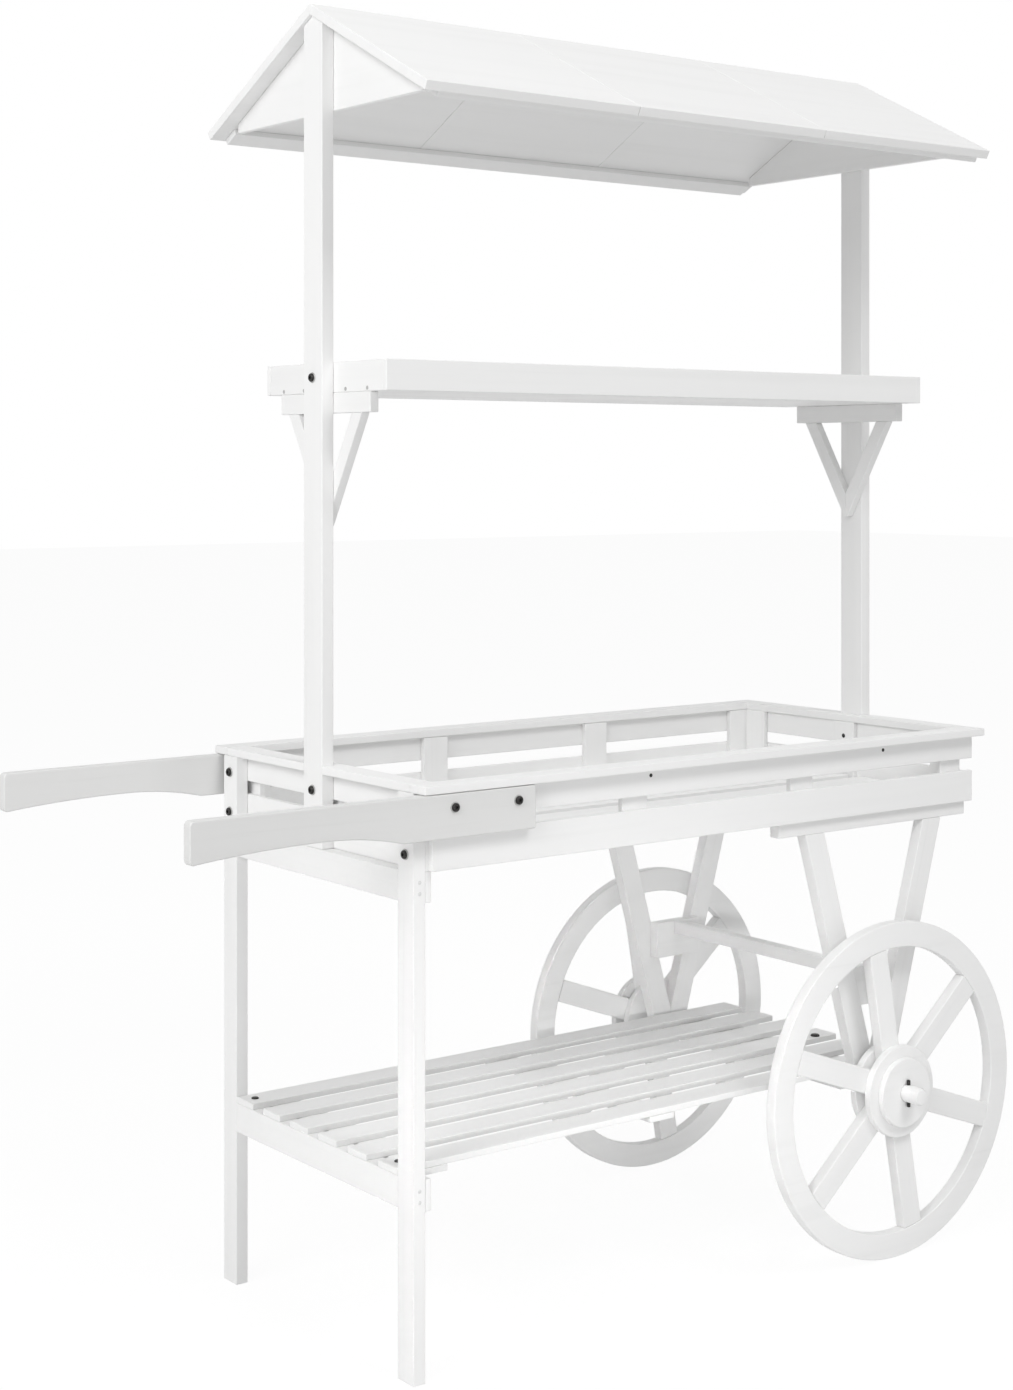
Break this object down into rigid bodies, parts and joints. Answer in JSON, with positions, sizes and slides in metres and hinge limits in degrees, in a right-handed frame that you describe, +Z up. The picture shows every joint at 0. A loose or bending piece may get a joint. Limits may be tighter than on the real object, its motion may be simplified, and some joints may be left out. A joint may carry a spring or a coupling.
{
  "type": "rolling display cart",
  "caption": "White painted wooden market cart with a gable roof, a middle shelf, a slatted tray, two handles, a lower shelf and spoked wheels.",
  "frame": {"origin": "on the floor, in the middle of the whole cart's bounding box", "axes": "+X runs along the cart from the handles to the wheels, +Y from its front to its back, +Z up"},
  "size_m": [1.5806, 0.745, 2],
  "materials": {
    "white_wood": "satin",
    "dark_steel": "satin",
    "zinc_steel": "satin"
  },
  "bodies": {
    "cart": {"apron": "white_wood", "axle": "white_wood", "axle_bearers": "white_wood", "axle_pins": "dark_steel", "bolts": "dark_steel", "cleats": "white_wood", "gable_left": "white_wood", "gable_right": "white_wood", "handle_back": "white_wood", "handle_front": "white_wood", "leg_back": "white_wood", "leg_front": "white_wood", "leg_screws": "dark_steel", "lower_rail": "white_wood", "lower_shelf_battens": "white_wood", "lower_shelf_slats": "white_wood", "nail_heads": "dark_steel", "nuts": "zinc_steel", "post_left": "white_wood", "post_right": "white_wood", "rail_backers": "white_wood", "rim_back": "white_wood", "rim_ends": "white_wood", "rim_front": "white_wood", "roof_back_sheets": "white_wood", "roof_eave_battens": "white_wood", "roof_front_sheets": "white_wood", "shelf_bearers": "white_wood", "shelf_braces": "white_wood", "shelf_ends": "white_wood", "shelf_lip_back": "white_wood", "shelf_lip_front": "white_wood", "shelf_slats": "white_wood", "slat_bolts": "dark_steel", "stretcher": "white_wood", "strut_ties": "white_wood", "struts_back": "white_wood", "struts_front": "white_wood", "tray_end_uprights": "white_wood", "tray_floor_bearers": "white_wood", "tray_floor_slats": "white_wood", "tray_lower_back": "white_wood", "tray_lower_ends": "white_wood", "tray_lower_front": "white_wood", "tray_side_uprights": "white_wood", "tray_upper_back": "white_wood", "tray_upper_ends": "white_wood", "tray_upper_front": "white_wood", "washers": "zinc_steel", "wheel_spacers": "white_wood"},
    "front_wheel": {"wheel_front_hub_core": "white_wood", "wheel_front_hub_discs": "white_wood", "wheel_front_hub_flange": "white_wood", "wheel_front_rim": "white_wood", "wheel_front_spokes": "white_wood"},
    "back_wheel": {"wheel_back_hub_core": "white_wood", "wheel_back_hub_discs": "white_wood", "wheel_back_hub_flange": "white_wood", "wheel_back_rim": "white_wood", "wheel_back_spokes": "white_wood"}
  },
  "joints": [
    {"name": "front_wheel_spin", "type": "hinge", "parent": "cart", "child": "front_wheel", "pos_m": [0.51475, -0.3055, 0.2755], "axis": [0, 1, 0], "continuous": true},
    {"name": "back_wheel_spin", "type": "hinge", "parent": "cart", "child": "back_wheel", "pos_m": [0.51475, 0.3055, 0.2755], "axis": [0, 1, 0], "continuous": true}
  ]
}
